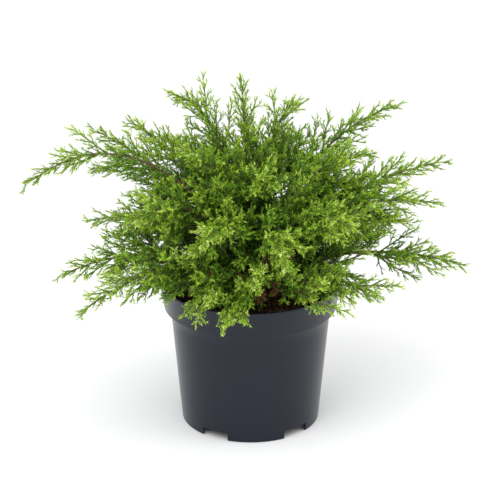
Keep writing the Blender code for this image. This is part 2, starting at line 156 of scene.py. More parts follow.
# A plume's azimuth is in degrees from +X. Its reach is from the pot's axis to its tip, and tip and
# bend are heights: the limb leaves the trunk towards its bend, over the share bend_at of the reach,
# and curves from there to the tip. The share bare of the limb is the bough.
Plume = namedtuple("Plume", "name tier azimuth reach tip bend bend_at bare")
PLUMES = (
    Plume("low_right", LOW, 5, 0.231, 0.163, 0.205, 0.50, 0.52),
    Plume("low_right_front", LOW, 330, 0.146, 0.164, 0.200, 0.50, 0.32),
    Plume("low_front_right", LOW, 301, 0.134, 0.168, 0.192, 0.50, 0.30),
    Plume("low_front", LOW, 267, 0.124, 0.160, 0.186, 0.50, 0.30),
    Plume("low_front_left", LOW, 240, 0.132, 0.166, 0.190, 0.50, 0.30),
    Plume("low_left_front", LOW, 221, 0.229, 0.177, 0.228, 0.50, 0.32),
    Plume("low_left", LOW, 197, 0.208, 0.183, 0.224, 0.50, 0.32),
    Plume("low_back_left", LOW, 152, 0.205, 0.185, 0.225, 0.50, 0.32),
    Plume("low_back", LOW, 114, 0.166, 0.172, 0.212, 0.50, 0.30),
    Plume("low_back_right", LOW, 79, 0.155, 0.186, 0.214, 0.50, 0.30),
    Plume("low_right_back", LOW, 41, 0.200, 0.175, 0.216, 0.50, 0.32),
    Plume("middle_left", MIDDLE, 192, 0.238, 0.276, 0.370, 0.50, 0.32),
    Plume("middle_right", MIDDLE, 17, 0.222, 0.266, 0.262, 0.50, 0.28),
    Plume("middle_right_front", MIDDLE, 347, 0.201, 0.257, 0.272, 0.50, 0.28),
    Plume("middle_front_right", MIDDLE, 312, 0.152, 0.255, 0.276, 0.50, 0.24),
    Plume("middle_front", MIDDLE, 283, 0.151, 0.232, 0.262, 0.50, 0.24),
    Plume("middle_front_left", MIDDLE, 252, 0.147, 0.250, 0.274, 0.50, 0.24),
    Plume("middle_left_front", MIDDLE, 221, 0.165, 0.258, 0.290, 0.50, 0.24),
    Plume("middle_back_left", MIDDLE, 124, 0.172, 0.262, 0.296, 0.50, 0.26),
    Plume("middle_back_right", MIDDLE, 70, 0.160, 0.268, 0.290, 0.50, 0.26),
    Plume("upper_right", UPPER, 27, 0.180, 0.323, 0.322, 0.50, 0.22),
    Plume("upper_back_right", UPPER, 60, 0.102, 0.325, 0.336, 0.45, 0.20),
    Plume("upper_front_right", UPPER, 340, 0.135, 0.312, 0.305, 0.45, 0.20),
    Plume("upper_front", UPPER, 278, 0.092, 0.304, 0.300, 0.50, 0.20),
    Plume("upper_front_left", UPPER, 222, 0.090, 0.318, 0.308, 0.45, 0.20),
    Plume("upper_left", UPPER, 172, 0.168, 0.317, 0.276, 0.50, 0.22),
    Plume("upper_left_back", UPPER, 150, 0.153, 0.308, 0.286, 0.50, 0.22),
    Plume("upper_back_left", UPPER, 136, 0.122, 0.334, 0.350, 0.32, 0.20),
)
CREST = Plume("crest", UPPER, 135, 0.014, 0.377, 0.310, 0.40, 0.0)

# Twigs. Each order of twig grows from the one before: leader, side plume, twiglet, shootlet.
# They stand a spacing apart between the shares first and last of their parent. The longest is
# shortened towards the tip by the share taper, and by a random share within spread. Angles to
# the parent are in degrees, and lift turns a twig upwards.
GOLDEN_TURN = math.radians(137.5)
Order = namedtuple("Order", "spacing first last longest taper spread angle angle_at_tip lift")
INNER_LEADERS = Order(0.0145, 0.08, 0.90, 0.092, 0.40, (0.75, 1.15), 52, 38, 0.16)
SIDE_PLUMES = Order(0.0080, 0.02, 0.93, 0.064, 0.78, (0.75, 1.15), 42, 30, 0.10)
LEADER_TWIGLETS = Order(0.0050, 0.10, 0.98, 0.019, 0.55, (0.75, 1.2), 40, 30, 0.05)
SIDE_TWIGLETS = Order(0.0044, 0.08, 0.97, 0.0195, 0.60, (0.75, 1.2), 40, 28, 0.05)
SHOOTLETS = Order(0.0042, 0.22, 0.86, 0.0082, 0.50, (0.8, 1.2), 40, 32, 0.0)
SIDE_SHARE = 0.52  # longest side plume, as a share of the leader
TWIGLET_SHARE = 0.45  # longest twiglet, as a share of the side plume
SHORTEST_WITH_SHOOTLETS = 0.0085
FORWARD_CURVE = 0.45  # how far a twig curves back towards its parent's direction
TURN_TRIES = 5
SHORTER = (1.0, 0.75, 0.5)  # lengths to try in turn, two tries to each
PLACE_JITTER = (0.2, 0.8)
ANGLE_JITTER = 6
LEADER_ORDER = 0
SIDE_ORDER = 1
TWIGLET_ORDER = 2
SHOOTLET_ORDER = 3
THICKNESS = {SIDE_ORDER: 0.0011, TWIGLET_ORDER: 0.00062, SHOOTLET_ORDER: 0.0004}
TWIG_SHAPES = ((5, 6, 0.45), (5, 5, 0.45), (3, 2, 0.6), (3, 1, 0.7))  # sides, stations, tip's share
CURVE_STEPS = 8
NEAR_TIP = 0.7
NEAR_VERTICAL = 0.9

# The crown's space
CROWN_MARGIN = 0.003  # how far twigs may reach past the box of the solids
DENSE_MIDDLE = Vector((0.012, -0.006, 0.189))  # the part of the crown that the inner leaders fill
DENSE_REACH = Vector((0.172, 0.136, 0.136))
INNER_LIMIT = 1.0  # the outness past which no inner leader's tip lies
SIDE_LIMIT = 1.16  # the same for side plumes on inner leaders, and on a plume's own leader
LEADER_LIMIT = 1.28
FREE_FROM = 0.45  # past this share of a plume's leader its side plumes may stand further out
RIM_CLEARANCE = 0.003
DROOP_LEVEL = 0.149  # lowest that foliage hangs outside the rim
DEAD_REACH = 0.075  # some side plumes are dead that start nearer the axis and lower than this
DEAD_HEIGHT = 0.215
DEAD_CHANCE = 0.16

# Tints run from 0, deep in the crown, to 1 at the lightest tips, and carry painted shade inside and under
# the crown and painted light on its outside
LEADER_TINT = 0.42
STEM_TINT = 0.36
TINT_GAIN = {SIDE_ORDER: 0.42, TWIGLET_ORDER: 0.24, SHOOTLET_ORDER: 0.10}
TINT_EVEN = 0.35  # share of the parent past which a twig is lighter than it
TINT_JITTER = 0.06
# Painted light and shade over the crown: tints rise on its outside and fall inside it and under it, where
# shade falls
PAINTED_SHADE_MIDDLE = 0.19
PAINTED_SHADE_REACH = (0.20, 0.14, 0.15)
PAINTED_SHADE_EVEN = 0.78
PAINTED_SHADE_GAIN = 0.42
PAINTED_SHADE_LIMITS = (-0.26, 0.16)
INNER_PAINTED_SHADE_SHARE = 0.5

# Needles
NEEDLE_LENGTH = 0.0036
NEEDLE_WIDTH = 0.00135
NEEDLE_KEEL = 0.00055
NEEDLE_SPREAD = (44, 20)  # angle to the twig in degrees, at its foot and at its tip
NEEDLES_PER_METRE = (500, 620, 850, 950)  # for each order of twig
NEEDLES_PER_PIECE = 45000
FEWEST_NEEDLES = 4
WHORL = 3
FIRST_NEEDLE = 0.6
NEEDLE_TURN_JITTER = 0.35
NEEDLE_ANGLE_JITTER = 7
NEEDLE_SIZES = (0.82, 1.15)
NEEDLE_SHRINK = 0.18  # how much smaller the needles are at a twig's tip
NEEDLE_RAISE = 0.0001
NEEDLE_TINT_GAIN = 0.26
NEEDLE_TINT_EVEN = 0.4
NEEDLE_TINT_JITTER = 0.05

# Finishes
POT_COLOUR = (0.0034, 0.0058, 0.0150)
BARK_COLOURS = ((0.055, 0.028, 0.015), (0.20, 0.115, 0.065))
MEDIUM_COLOURS = ((0.012, 0.005, 0.003), (0.085, 0.036, 0.020))
CHIP_COLOURS = ((0.020, 0.009, 0.006), (0.16, 0.075, 0.040))
GRIT_COLOURS = ((0.35, 0.28, 0.22), (0.55, 0.48, 0.40))
# Greens for the needles, darkest first. Besides the lighter twig tips, the darker greens carry painted
# shade inside and under the crown and the lighter ones painted light on its outside.
TINTS = (
    ("deep", (0.035, 0.095, 0.007)),
    ("shaded", (0.080, 0.186, 0.011)),
    ("green", (0.182, 0.368, 0.020)),
    ("fresh", (0.350, 0.570, 0.036)),
    ("light", (0.560, 0.770, 0.105)),
    ("pale", (0.740, 0.880, 0.270)),
)
TINT_STEPS = (0.22, 0.36, 0.52, 0.70, 0.88)
DEAD_COLOUR = (0.150, 0.055, 0.026)
GREEN_TWIG_COLOUR = (0.125, 0.220, 0.032)
BROWN_TWIG_COLOUR = (0.130, 0.075, 0.036)
MOTTLE_DETAIL = 4.0
MOTTLE_STEPS = (0.35, 0.65)
BUMP_DISTANCE = 0.0005


# Helpers for meshes and materials

def piece(name, mesh, material):
    mesh.materials.append(material)
    made = bpy.data.objects.new(name, mesh)
    bpy.context.scene.collection.objects.link(made)
    return made


def piece_of(name, bm, material, smooth_angle):
    bmesh.ops.recalc_face_normals(bm, faces=bm.faces)
    mesh = bpy.data.meshes.new(name)
    bm.to_mesh(mesh)
    bm.free()
    mesh.shade_smooth()
    mesh.set_sharp_from_angle(angle=smooth_angle)
    return piece(name, mesh, material)


def mesh_of(name, points, triangles):
    """A mesh from arrays of points and of triangles."""
    mesh = bpy.data.meshes.new(name)
    mesh.vertices.add(len(points))
    mesh.vertices.foreach_set("co", points.astype(np.float32).ravel())
    mesh.loops.add(3 * len(triangles))
    mesh.loops.foreach_set("vertex_index", triangles.astype(np.int32).ravel())
    mesh.polygons.add(len(triangles))
    mesh.polygons.foreach_set("loop_start", np.arange(0, 3 * len(triangles), 3, dtype=np.int32))
    mesh.update(calc_edges=True)
    mesh.validate()
    return mesh


def two_tone(name, dark, light, scale, roughness, bump=0.0, bump_scale=900.0, specular=0.5):
    """A finish mottled between two colours by a fine noise, with a noise for its relief."""
    material = bpy.data.materials.new(name)
    material.use_nodes = True
    nodes, links = material.node_tree.nodes, material.node_tree.links
    shader = nodes["Principled BSDF"]
    shader.inputs["Roughness"].default_value = roughness
    shader.inputs["Specular IOR Level"].default_value = specular
    place = nodes.new("ShaderNodeTexCoord")
    mottle = nodes.new("ShaderNodeTexNoise")
    mottle.inputs["Scale"].default_value = scale
    mottle.inputs["Detail"].default_value = MOTTLE_DETAIL
    ramp = nodes.new("ShaderNodeValToRGB")
    for stop, place_of_stop, colour in zip(ramp.color_ramp.elements, MOTTLE_STEPS, (dark, light)):
        stop.position = place_of_stop
        stop.color = (*colour, 1.0)
    links.new(place.outputs["Object"], mottle.inputs["Vector"])
    links.new(mottle.outputs["Fac"], ramp.inputs["Fac"])
    links.new(ramp.outputs["Color"], shader.inputs["Base Color"])
    if bump:
        grain = nodes.new("ShaderNodeTexNoise")
        grain.inputs["Scale"].default_value = bump_scale
        relief = nodes.new("ShaderNodeBump")
        relief.inputs["Strength"].default_value = bump
        relief.inputs["Distance"].default_value = BUMP_DISTANCE
        links.new(place.outputs["Object"], grain.inputs["Vector"])
        links.new(grain.outputs["Fac"], relief.inputs["Height"])
        links.new(relief.outputs["Normal"], shader.inputs["Normal"])
    return material


def shades(colour, spread=0.16):
    """A darker and a lighter shade of a colour."""
    return tuple(c * (1 - spread) for c in colour), tuple(c * (1 + spread) for c in colour)


# The stage: camera, floor and light

def make_camera():
    back = Vector((0, -math.cos(CAMERA_ELEVATION), math.sin(CAMERA_ELEVATION)))
    data = bpy.data.cameras.new("camera")
    data.lens = FOCAL_PIXELS / PHOTO_WIDTH * data.sensor_width
    camera = bpy.data.objects.new("camera", data)
    camera.location = CAMERA_TARGET + back * CAMERA_DISTANCE
    camera.rotation_euler = (-back).to_track_quat("-Z", "Y").to_euler()
    bpy.context.scene.collection.objects.link(camera)
    bpy.context.scene.camera = camera


def make_floor():
    bm = bmesh.new()
    bmesh.ops.create_grid(bm, x_segments=1, y_segments=1, size=FLOOR_REACH)
    material = two_tone("pale floor", *shades(FLOOR_COLOUR, 0.004), scale=3.0, roughness=0.9, specular=0.0)
    floor = piece_of("floor", bm, material, math.pi)


def make_light(name, place, size, power):
    data = bpy.data.lights.new(name, "AREA")
    data.shape = "SQUARE"
    data.size = size
    data.energy = power
    light = bpy.data.objects.new(name, data)
    light.location = place
    light.rotation_euler = (CAMERA_TARGET - Vector(place)).to_track_quat("-Z", "Y").to_euler()
    bpy.context.scene.collection.objects.link(light)


def make_lights():
    world = bpy.data.worlds.new("studio")
    world.use_nodes = True
    world.node_tree.nodes["Background"].inputs["Color"].default_value = (1, 1, 1, 1)
    world.node_tree.nodes["Background"].inputs["Strength"].default_value = SKY_STRENGTH
    bpy.context.scene.world = world
    make_light("softbox over the front left", *FRONT_SOFTBOX)
    make_light("softbox over the right", *RIGHT_SOFTBOX)
    bpy.context.scene.view_settings.view_transform = "Standard"


# The pot

def wall_radius(height):
    share = height / (POT_HEIGHT - BAND_HEIGHT)
    return FOOT_RADIUS + (BODY_RADIUS - FOOT_RADIUS) * share


def pot_profile():
    """Section of the pot: the floor's underside, the foot, up the outside, the lip and the inside."""
    band_foot = POT_HEIGHT - BAND_HEIGHT
    lip_middle = POT_HEIGHT - LIP / 2
    floor_top = FLOOR_HEIGHT + FLOOR_THICKNESS
    points = [
        (0.0, FLOOR_HEIGHT),
        (wall_radius(FLOOR_HEIGHT) - WALL, FLOOR_HEIGHT),
        (FOOT_RADIUS - FOOT_CHAMFER - WALL, 0.0),
        (FOOT_RADIUS - FOOT_CHAMFER, 0.0),
        (FOOT_RADIUS, FOOT_CHAMFER),
    ]
    heights = [band_foot * i / WALL_STATIONS for i in range(1, WALL_STATIONS)]
    points += [(wall_radius(height), height) for height in heights]
    fillet_across, fillet_up = STEP_FILLET
    corner_across, corner_up = BAND_CORNER
    points += [
        (BODY_RADIUS, band_foot - WALL),
        (BODY_RADIUS + fillet_across, band_foot - fillet_up),
        (BAND_RADIUS - corner_across, band_foot),
        (BAND_RADIUS - BAND_EDGE, band_foot + BAND_EDGE),
        (BAND_RADIUS, band_foot + corner_up),
        (RIM_RADIUS - LIP_UNDERCUT, lip_middle - LIP),
        (RIM_RADIUS, lip_middle - LIP_EDGE),
    ]
    points += [
        (RIM_RADIUS - LIP / 2 + LIP / 2 * math.cos(turn), lip_middle + LIP / 2 * math.sin(turn))
        for turn in (math.pi * i / LIP_STEPS for i in range(1, LIP_STEPS))
    ]
    points += [
        (RIM_RADIUS - LIP, lip_middle),
        (BAND_RADIUS - WALL, band_foot + WALL),
        (BODY_RADIUS - WALL, band_foot),
        (wall_radius(floor_top) - WALL, floor_top),
        (0.0, floor_top),
    ]
    return points


def turned(profile, steps):
    """A bmesh of the profile turned round the axis."""
    bm = bmesh.new()
    points = [bm.verts.new((radius, 0.0, height)) for radius, height in profile]
    edges = [bm.edges.new(pair) for pair in zip(points, points[1:])]
    bmesh.ops.spin(
        bm,
        geom=points + edges,
        cent=(0, 0, 0),
        axis=(0, 0, 1),
        angle=math.tau,
        steps=steps,
        use_merge=True,
    )
    bmesh.ops.remove_doubles(bm, verts=bm.verts, dist=1e-6)
    return bm


def cut_out(target, bm):
    """Cuts the shape of the bmesh out of the target."""
    bmesh.ops.recalc_face_normals(bm, faces=bm.faces)
    mesh = bpy.data.meshes.new("cutter")
    bm.to_mesh(mesh)
    bm.free()
    cutter = bpy.data.objects.new("cutter", mesh)
    bpy.context.scene.collection.objects.link(cutter)
    modifier = target.modifiers.new("cut", "BOOLEAN")
    modifier.object = cutter
    bpy.context.view_layer.objects.active = target
    bpy.ops.object.modifier_apply(modifier=modifier.name)
    bpy.data.objects.remove(cutter)


def make_pot():
    material = two_tone(
        "pot plastic",
        *shades(POT_COLOUR, 0.05),
        scale=40.0,
        roughness=0.27,
        bump=0.04,
        bump_scale=1400.0,
        specular=0.34,
    )
    pot = piece_of("nursery_pot", turned(pot_profile(), POT_STEPS), material, POT_SHARP_ANGLE)
    for number in range(NOTCHES):
        azimuth = FIRST_NOTCH + number * math.tau / NOTCHES
        notch = bmesh.new()
        bmesh.ops.create_cube(notch, size=1.0)
        bmesh.ops.scale(notch, vec=(NOTCH_DEPTH, NOTCH_WIDTH, 2 * NOTCH_HEIGHT), verts=notch.verts)
        bmesh.ops.translate(notch, vec=(FOOT_RADIUS - WALL, 0, 0), verts=notch.verts)
        hole = bmesh.new()
        bmesh.ops.create_cone(
            hole,
            cap_ends=True,
            segments=HOLE_STEPS,
            radius1=HOLE_RADIUS,
            radius2=HOLE_RADIUS,
            depth=HOLE_CUT,
        )
        hole_place = (HOLE_CIRCLE, 0, FLOOR_HEIGHT + HOLE_CUT_RAISE)
        bmesh.ops.translate(hole, vec=hole_place, verts=hole.verts)
        for cutter in (notch, hole):
            turn = Matrix.Rotation(azimuth, 3, "Z")
            bmesh.ops.rotate(cutter, matrix=turn, verts=cutter.verts)
            cut_out(pot, cutter)
    pot.data.shade_smooth()
    pot.data.set_sharp_from_angle(angle=POT_SHARP_ANGLE)
    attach(pot, "root")
    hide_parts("pot")


# The growing medium

def medium_level(x, y):
    """Height of the medium's uneven surface."""
    outer = BAND_RADIUS - WALL
    dome = MEDIUM_CROWN * (1 - (math.hypot(x, y) / outer) ** 2)
    lumps = noise.noise(Vector((x, y, 0)) * LUMP_SCALE)
    lumps += GRAIN_SHARE * noise.noise(Vector((x, y, GRAIN_OFFSET)) * GRAIN_SCALE)
    return MEDIUM_LEVEL - MEDIUM_CROWN + dome + MEDIUM_RELIEF * (lumps - MEDIUM_SINK)


def make_medium():
    inset = WALL + GAP
    band_foot = POT_HEIGHT - BAND_HEIGHT
    bottom = FLOOR_HEIGHT + FLOOR_THICKNESS + GAP
    outer = BAND_RADIUS - inset
    profile = [(0.0, bottom), (wall_radius(bottom) - inset, bottom), (BODY_RADIUS - inset, band_foot)]
    profile += [(outer, band_foot + 3 * WALL)]
    profile += [(outer * (1 - i / MEDIUM_RINGS), MEDIUM_LEVEL) for i in range(MEDIUM_RINGS + 1)]
    bm = turned(profile, MEDIUM_STEPS)
    for vert in bm.verts:
        if vert.co.z > MEDIUM_LEVEL - GAP:
            vert.co.z = medium_level(vert.co.x, vert.co.y)
    material = two_tone(
        "moist bark and peat", *MEDIUM_COLOURS, scale=260.0, roughness=0.9, bump=0.8, specular=0.2
    )
    medium = piece_of("peat_and_bark", bm, material, math.radians(60))
    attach(medium, "root")
    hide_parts("growing_medium")


def scatter(name, count, sizes, colours, seed):
    """Small angular bits that lie on the growing medium."""
    rng = random.Random(seed)
    bm = bmesh.new()
    for _ in range(count):
        size = rng.uniform(*sizes)
        away = (BAND_RADIUS - WALL - CHIP_INSET) * math.sqrt(rng.uniform(CHIP_CLEAR_MIDDLE, 1))
        turn = rng.uniform(0, math.tau)
        x, y = away * math.cos(turn), away * math.sin(turn)
        chip = bmesh.ops.create_icosphere(bm, subdivisions=1, radius=size / 2)["verts"]
        for vert in chip:
            vert.co *= rng.uniform(*CHIP_ROUGHNESS)
        stretch = [rng.uniform(*limits) for limits in CHIP_STRETCH]
        bmesh.ops.scale(bm, vec=stretch, verts=chip)
        axis = Vector([rng.uniform(-1, 1) for _ in range(3)])
        tilt = Matrix.Rotation(rng.uniform(0, CHIP_TILT), 3, axis)
        bmesh.ops.rotate(bm, matrix=tilt, verts=chip)
        bmesh.ops.rotate(bm, matrix=Matrix.Rotation(rng.uniform(0, math.tau), 3, "Z"), verts=chip)
        place = (x, y, medium_level(x, y) + size * CHIP_RAISE)
        bmesh.ops.translate(bm, vec=place, verts=chip)
    material = two_tone(
        name.replace("_", " "), *colours, scale=500.0, roughness=0.85, bump=0.5, specular=0.3
    )
    made = piece_of(name, bm, material, math.radians(20))
    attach(made, "root")


# The trunk and the boughs

def trunk_axis(height):
    share = height / TRUNK_HEIGHT
    return Vector((0, 0, MEDIUM_LEVEL + GAP + height)) + TRUNK_LEAN * share * share


def trunk_radius(height):
    taper = TRUNK_RADIUS + (TRUNK_TIP_RADIUS - TRUNK_RADIUS) * height / TRUNK_HEIGHT
    flare = max(0.0, 1 - height / FLARE_HEIGHT)
    return taper + ROOT_FLARE * flare * flare


def outward(azimuth):
    return Vector((math.cos(azimuth), math.sin(azimuth), 0.0))


def start_of(plume, number):
    """Where the plume's limb leaves the trunk, just clear of the bark."""
    if plume is CREST:
        return trunk_axis(TRUNK_HEIGHT) + Vector((0, 0, GAP))
    height = plume.tier.height + (plume.tier.stagger if number % 2 else -plume.tier.stagger)
    axis = trunk_axis(height)
    slope = math.atan2(plume.bend - axis.z, plume.reach * plume.bend_at)
    clear = trunk_radius(height) + plume.tier.bough_radius * math.sin(abs(slope)) + GAP
    return axis + outward(math.radians(plume.azimuth)) * clear


Twig = namedtuple("Twig", "root bend tip thickness order tint dead")


def at(twig, share):
    """The point on a twig's curve at a share of its way."""
    rest = 1 - share
    return twig.root * rest * rest + twig.bend * 2 * share * rest + twig.tip * share * share


def heading(twig, share):
    rest = 1 - share
    return ((twig.bend - twig.root) * rest + (twig.tip - twig.bend) * share).normalized()


def length_of(twig):
    points = [at(twig, i / CURVE_STEPS) for i in range(CURVE_STEPS + 1)]
    return sum((b - a).length for a, b in zip(points, points[1:]))


def limb_of(plume, number):
    """The whole limb of a plume, from the trunk to the tip."""
    direction = outward(math.radians(plume.azimuth))
    bend = direction * plume.reach * plume.bend_at + Vector((0, 0, plume.bend))
    tip = direction * plume.reach + Vector((0, 0, plume.tip))
    start = start_of(plume, number)
    return Twig(start, bend, tip, plume.tier.bough_radius, LEADER_ORDER, STEM_TINT, False)


def furrowed_limb(points, radii, sides, relief, seed):
    """A bmesh of a limb whose skin has long flaking furrows."""
    bm = bmesh.new()
    rings = []
    across = None
    steps = [(b - a).normalized() for a, b in zip(points, points[1:])]
    steps = [steps[0]] + [(a + b).normalized() for a, b in zip(steps, steps[1:])] + [steps[-1]]
    run = 0.0
    for number, (point, direction, radius) in enumerate(zip(points, steps, radii)):
        start = across or direction.orthogonal()
        across = (start - start.project(direction)).normalized()
        square = Matrix((across, direction.cross(across), direction)).transposed().to_4x4()
        place = Matrix.Translation(point) @ square
        ring = bmesh.ops.create_circle(bm, segments=sides, radius=radius, matrix=place)["verts"]
        run += (point - points[max(0, number - 1)]).length
        for vert in ring:
            out = (vert.co - point).normalized()
            strip = out * FURROWS_ROUND + Vector((0, 0, seed + run * FURROWS_ALONG))
            vert.co += out * radius * relief * noise.noise(strip) * FURROW_GAIN
        rings.append(ring)
    for lower, upper in zip(rings, rings[1:]):
        for i in range(sides):
            j = (i + 1) % sides
            bm.faces.new((lower[i], lower[j], upper[j], upper[i]))
    bm.faces.new(rings[0][::-1])
    bm.faces.new(rings[-1])
    return bm


def make_trunk(material):
    heights = [TRUNK_HEIGHT * i / (TRUNK_RINGS - 1) for i in range(TRUNK_RINGS)]
    axis = [trunk_axis(height) for height in heights]
    radii = [trunk_radius(height) for height in heights]
    bm = furrowed_limb(axis, radii, TRUNK_SIDES, BARK_RELIEF, 0.0)
    trunk = piece_of("bark_of_trunk", bm, material, math.radians(60))
    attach(trunk, "root")
    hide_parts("trunk")


def make_bough(plume, limb, number, material):
    shares = [plume.bare * BOUGH_OVERRUN * i / (BOUGH_RINGS - 1) for i in range(BOUGH_RINGS)]
    tier = plume.tier
    radii = [
        tier.bough_radius + (tier.stem_radius - tier.bough_radius) * i / (BOUGH_RINGS - 1)
        for i in range(BOUGH_RINGS)
    ]
    points = [at(limb, share) for share in shares]
    bm = furrowed_limb(points, radii, BOUGH_SIDES, BARK_RELIEF, number * FURROW_SEED_STEP)
    bough = piece_of(f"bark_of_{plume.name}", bm, material, math.radians(70))
    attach(bough, "root")
    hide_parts(f"bough_{plume.name}")


# The twigs

def in_place(root, bend, tip):
    """True if a twig keeps clear of the pot and the medium and inside the crown's reach."""
    low, high = solid_box
    middle = (root + bend * 2 + tip) / 4
    for point in (middle, bend * (1 - NEAR_TIP) + tip * NEAR_TIP, tip):
        if any(point[i] < low[i] - CROWN_MARGIN for i in range(3)):
            return False
        if any(point[i] > high[i] + CROWN_MARGIN for i in range(3)):
            return False
        away = math.hypot(point.x, point.y)
        if away < RIM_RADIUS - LIP - RIM_CLEARANCE:
            if point.z < MEDIUM_LEVEL + RIM_CLEARANCE:
                return False
        elif away < RIM_RADIUS + RIM_CLEARANCE:
            if point.z < POT_HEIGHT + RIM_CLEARANCE:
                return False
        elif point.z < DROOP_LEVEL:
            return False
    return True


def grow(parent, order, number, longest, rng, limit=math.inf):
    """The twigs of one order that grow from a parent, each turned on from the last.

    Near the parent's foot, and all along it under a low limit, no tip's outness is past the limit.
    """
    length = length_of(parent)
    count = max(2, round(length * (order.last - order.first) / order.spacing))
    turn = rng.uniform(0, math.tau)
    made = []
    for step in range(count):
        place = (step + rng.uniform(*PLACE_JITTER)) / count
        share = order.first + (order.last - order.first) * place
        turn += GOLDEN_TURN
        root = at(parent, share)
        forward = heading(parent, share)
        angle = order.angle + (order.angle_at_tip - order.angle) * place
        angle += rng.uniform(-ANGLE_JITTER, ANGLE_JITTER)
        reach = longest * (1 - order.taper * place) * rng.uniform(*order.spread)
        twig = None
        for attempt in range(TURN_TRIES):
            side = forward.orthogonal().normalized()
            side.rotate(Quaternion(forward, turn + attempt * GOLDEN_TURN))
            first = forward * math.cos(math.radians(angle)) + side * math.sin(math.radians(angle))
            later = (first + forward * FORWARD_CURVE + Vector((0, 0, order.lift))).normalized()
            run = reach * SHORTER[min(attempt // 2, len(SHORTER) - 1)]
            bend = root + first * run / 2
            tip = bend + later * run / 2
            within = place > FREE_FROM and limit > SIDE_LIMIT or outness(tip) < limit
            if within and in_place(root, bend, tip):
                tint = parent.tint + TINT_GAIN[number] * (place - TINT_EVEN)
                tint += rng.uniform(-TINT_JITTER, TINT_JITTER)
                twig = Twig(root, bend, tip, THICKNESS[number], number, tint, parent.dead)
                break
        if twig:
            made.append(twig)
    return made


def outness(point):
    """How far out a point is in the crown: under 1 inside its dense part."""
    away = point - DENSE_MIDDLE
    return Vector([away[i] / DENSE_REACH[i] for i in range(3)]).length


def painted_light_and_shade(point):
    """Painted light on the outside of the crown, and painted shade inside it and under it."""
    across, deep, high = PAINTED_SHADE_REACH
    away = Vector((point.x / across, point.y / deep, (point.z - PAINTED_SHADE_MIDDLE) / high)).length
    darkest, lightest = PAINTED_SHADE_LIMITS
    return max(darkest, min(lightest, PAINTED_SHADE_GAIN * (away - PAINTED_SHADE_EVEN)))


def grow_plume(plume, limb, number):
    """All the twigs of a plume: its leader, shorter leaders inside, and what grows on them."""
    rng = random.Random(SEED * 1000 + number)
    leader = Twig(
        at(limb, plume.bare),
        limb.bend.lerp(limb.tip, plume.bare),
        limb.tip,
        plume.tier.stem_radius,
        LEADER_ORDER,
        LEADER_TINT,
        False,
    )
    leaders = [leader]
    for inner in grow(limb, INNER_LEADERS, SIDE_ORDER, INNER_LEADERS.longest, rng, INNER_LIMIT):
        # inner leaders take a share of the painted shade and painted light of where their tips lie
        tint = inner.tint + INNER_PAINTED_SHADE_SHARE * painted_light_and_shade(inner.tip)
        leaders.append(inner._replace(order=LEADER_ORDER, tint=tint))
    sides, twiglets = [], []
    for stem in leaders:
        longest = min(SIDE_PLUMES.longest, length_of(stem) * SIDE_SHARE)
        limit = LEADER_LIMIT if stem is leader else SIDE_LIMIT
        sides += grow(stem, SIDE_PLUMES, SIDE_ORDER, longest, rng, limit)
        twiglets += grow(stem, LEADER_TWIGLETS, TWIGLET_ORDER, LEADER_TWIGLETS.longest, rng)
    placed = []
    for side in sides:
        inside = side.root.xy.length < DEAD_REACH and side.root.z < DEAD_HEIGHT
        dead = inside and rng.random() < DEAD_CHANCE
        # side plumes take the painted shade and painted light of where their tips lie
        placed.append(side._replace(tint=side.tint + painted_light_and_shade(side.tip), dead=dead))
    for side in placed:
        longest = min(SIDE_TWIGLETS.longest, length_of(side) * TWIGLET_SHARE)
        twiglets += grow(side, SIDE_TWIGLETS, TWIGLET_ORDER, longest, rng)
    shootlets = []
    for twiglet in twiglets:
        if (twiglet.tip - twiglet.root).length > SHORTEST_WITH_SHOOTLETS:
            shootlets += grow(twiglet, SHOOTLETS, SHOOTLET_ORDER, SHOOTLETS.longest, rng)
    return leaders + placed + twiglets + shootlets


def arrays(twigs):
    """The roots, bends and tips of the twigs, each as an array."""
    return tuple(np.array([getattr(twig, part)[:] for twig in twigs]) for part in ("root", "bend", "tip"))


def curve_points(roots, bends, tips, shares):
    rest = 1 - shares
    return roots * rest * rest + bends * 2 * shares * rest + tips * shares * shares


def curve_directions(roots, bends, tips, shares):
    run = (bends - roots) * (1 - shares) + (tips - bends) * shares
    return run / np.linalg.norm(run, axis=1, keepdims=True)


def square_to(directions):
    """Two unit vectors square to each direction and to each other."""
    slanting = np.abs(directions[:, 2:]) < NEAR_VERTICAL
    helper = np.where(slanting, [[0.0, 0.0, 1.0]], [[1.0, 0.0, 0.0]])
    across = np.cross(directions, helper)
    across /= np.linalg.norm(across, axis=1, keepdims=True)
    return across, np.cross(directions, across)


def tubes(twigs, sides, stations, tip_share):
    """Points and triangles of a closed tapering tube for each twig, with a pointed tip."""
    roots, bends, tips = arrays(twigs)
    thickness = np.array([twig.thickness for twig in twigs])[:, None]
    across, upright = square_to(curve_directions(roots, bends, tips, 0.5))
    points = [roots]
    for station in range(stations):
        share = station / stations
        middle = curve_points(roots, bends, tips, share)
        radius = thickness * (1 - (1 - tip_share) * share)
        for side in range(sides):
            turn = math.tau * side / sides
            points.append(middle + (across * math.cos(turn) + upright * math.sin(turn)) * radius)
    points.append(tips)

    def ring(station, side):
        return 1 + station * sides + side % sides

    faces = []
    for side in range(sides):
        faces.append((0, ring(0, side + 1), ring(0, side)))
        for station in range(stations - 1):
            a, b = ring(station, side), ring(station, side + 1)
            c, d = ring(station + 1, side + 1), ring(station + 1, side)
            faces += [(a, b, c), (a, c, d)]
        faces.append((ring(stations - 1, side), ring(stations - 1, side + 1), len(points) - 1))
    stacked = np.stack(points, axis=1).reshape(-1, 3)
    offsets = np.arange(len(twigs))[:, None, None] * len(points)
    return stacked, (np.array(faces)[None] + offsets).reshape(-1, 3)


